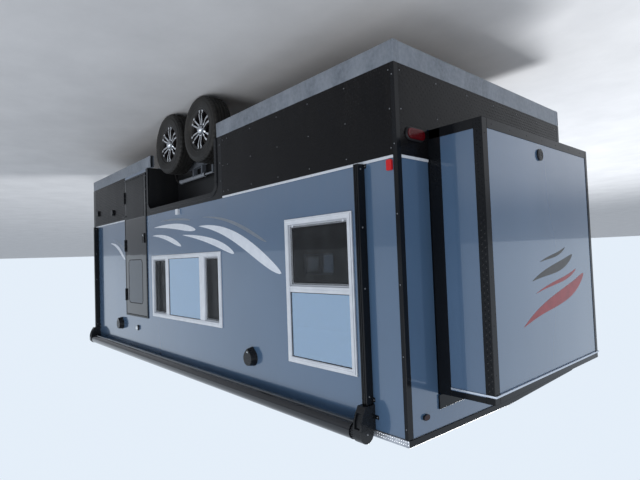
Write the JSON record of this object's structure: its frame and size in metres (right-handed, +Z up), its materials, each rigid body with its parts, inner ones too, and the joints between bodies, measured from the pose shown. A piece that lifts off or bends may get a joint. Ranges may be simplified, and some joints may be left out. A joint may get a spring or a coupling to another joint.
{
  "type": "wheeled ice fishing hut",
  "caption": "Long boxy ice fishing hut trailer with a pointed nose, a slide-out rear room, a side door, windows, a roll-up awning and tandem wheels in open wells.",
  "frame": {"origin": "centre of the overall box on the ground, under the hut", "axes": "+X forward to the hitch, -Y towards the side with the entry door, +Z up"},
  "size_m": [9.066, 2.757, 3.046],
  "materials": {
    "frame_silver": "satin silver paint",
    "lift_black": "satin black paint",
    "floor_wood": "bare plywood",
    "well_dark": "matt liner",
    "panel_grey": "gloss blue-grey sheet",
    "roof_skin": "pale membrane",
    "edge_plate": "bright embossed plate",
    "plate_black": "gloss black embossed plate",
    "trim_black": "satin black",
    "trim_white": "white rail",
    "window_white": "white frame",
    "window_glass": "tinted pane",
    "door_black": "satin black frame",
    "tyre_rubber": "worn black rubber",
    "rim_alloy": "machined spokes over dark windows",
    "awning_black": "satin black ribbed arm",
    "awning_fabric": "dark rolled fabric",
    "lamp_clear": "clear moulded lens on a black base",
    "lamp_red": "red lens",
    "fitting_black": "black moulding",
    "runner_plastic": "low-friction block"
  },
  "bodies": {
    "hut": {"awning_arms": "awning_black", "awning_heads": "awning_black", "awning_roll": "awning_fabric", "axles": "lift_black", "belt_trims": "trim_white", "corner_trims": "trim_black", "coupler": "frame_silver", "cross_members": "frame_silver", "door_frame": "door_black", "door_hinges": "door_black", "end_skids": "frame_silver", "floor_deck": "floor_wood", "jack": "frame_silver", "left_wall_ends": "panel_grey", "left_wall_middle": "panel_grey", "lift_gear": "lift_black", "lift_hoses": "trim_black", "lower_panels": "plate_black", "main_rails": "frame_silver", "nose_walls": "panel_grey", "porch_lamps": "lamp_clear", "rear_wall_bands": "panel_grey", "rear_wall_posts": "panel_grey", "right_wall_door_bands": "panel_grey", "right_wall_front": "panel_grey", "right_wall_middle": "panel_grey", "right_wall_post": "panel_grey", "right_wall_rear": "panel_grey", "roof": "roof_skin", "roof_edge": "edge_plate", "side_skids": "frame_silver", "slide_header": "trim_black", "slide_runners": "runner_plastic", "tail_lamps": "lamp_red", "tongue_rails": "frame_silver", "wall_fittings": "fitting_black", "well_trims": "trim_black", "wheel_boxes": "well_dark", "window_frames": "window_white", "window_panes": "window_glass", "window_sashes": "window_white"},
    "door": {"door_leaf": "panel_grey", "door_pane": "window_glass", "door_hinge_leaves": "door_black", "door_handle": "door_black", "door_catch": "fitting_black"},
    "slide_room": {"slide_face": "panel_grey", "slide_sides": "panel_grey", "slide_decks": "panel_grey", "slide_trims": "trim_black", "slide_drip": "edge_plate", "slide_port": "fitting_black"},
    "wheel_right_rear": {"tyre_right_rear": "tyre_rubber", "rim_right_rear": "rim_alloy"},
    "wheel_right_front": {"tyre_right_front": "tyre_rubber", "rim_right_front": "rim_alloy"},
    "wheel_left_rear": {"tyre_left_rear": "tyre_rubber", "rim_left_rear": "rim_alloy"},
    "wheel_left_front": {"tyre_left_front": "tyre_rubber", "rim_left_front": "rim_alloy"}
  },
  "joints": [
    {"name": "door_swing", "type": "hinge", "parent": "hut", "child": "door", "pos_m": [0.7805, -1.2525, 1.544], "axis": [0, 0, 1], "range_deg": [0, 170]},
    {"name": "slide_out_travel", "type": "slide", "parent": "hut", "child": "slide_room", "axis": [1, 0, 0], "range_m": [0, 0.385]},
    {"name": "wheel_spin_right_rear", "type": "hinge", "parent": "hut", "child": "wheel_right_rear", "pos_m": [-1.365, -1.073, 0.36], "axis": [0, 1, 0], "continuous": true},
    {"name": "wheel_spin_right_front", "type": "hinge", "parent": "hut", "child": "wheel_right_front", "pos_m": [-0.56, -1.073, 0.36], "axis": [0, 1, 0], "continuous": true},
    {"name": "wheel_spin_left_rear", "type": "hinge", "parent": "hut", "child": "wheel_left_rear", "pos_m": [-1.365, 1.203, 0.36], "axis": [0, 1, 0], "continuous": true},
    {"name": "wheel_spin_left_front", "type": "hinge", "parent": "hut", "child": "wheel_left_front", "pos_m": [-0.56, 1.203, 0.36], "axis": [0, 1, 0], "continuous": true}
  ]
}
